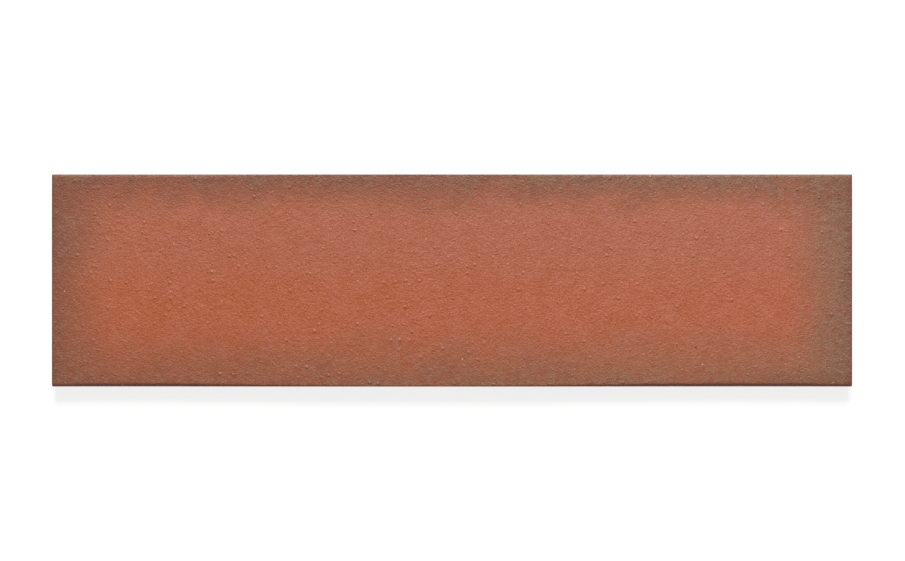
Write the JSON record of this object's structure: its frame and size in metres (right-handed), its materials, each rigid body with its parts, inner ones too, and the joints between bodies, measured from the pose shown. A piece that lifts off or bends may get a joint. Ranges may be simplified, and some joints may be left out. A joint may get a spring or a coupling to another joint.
{
  "type": "clinker brick slip",
  "caption": "Thin rectangular fired-clay facing slip with a plain, slightly gritty face and lengthwise keying grooves along its back, bonded to a wall to look like brickwork.",
  "frame": {"origin": "centre of the back, on the plane that it lies on", "axes": "+X along the slip's length, +Y up the height of a laid course, +Z out of the face"},
  "size_m": [0.245, 0.065, 0.0065],
  "materials": {
    "clinker": "matt, unglazed, slightly gritty; orange-red in the middle and flashed grey-brown along its edges"
  },
  "bodies": {
    "root": {"brick_slip": "clinker"}
  },
  "joints": []
}
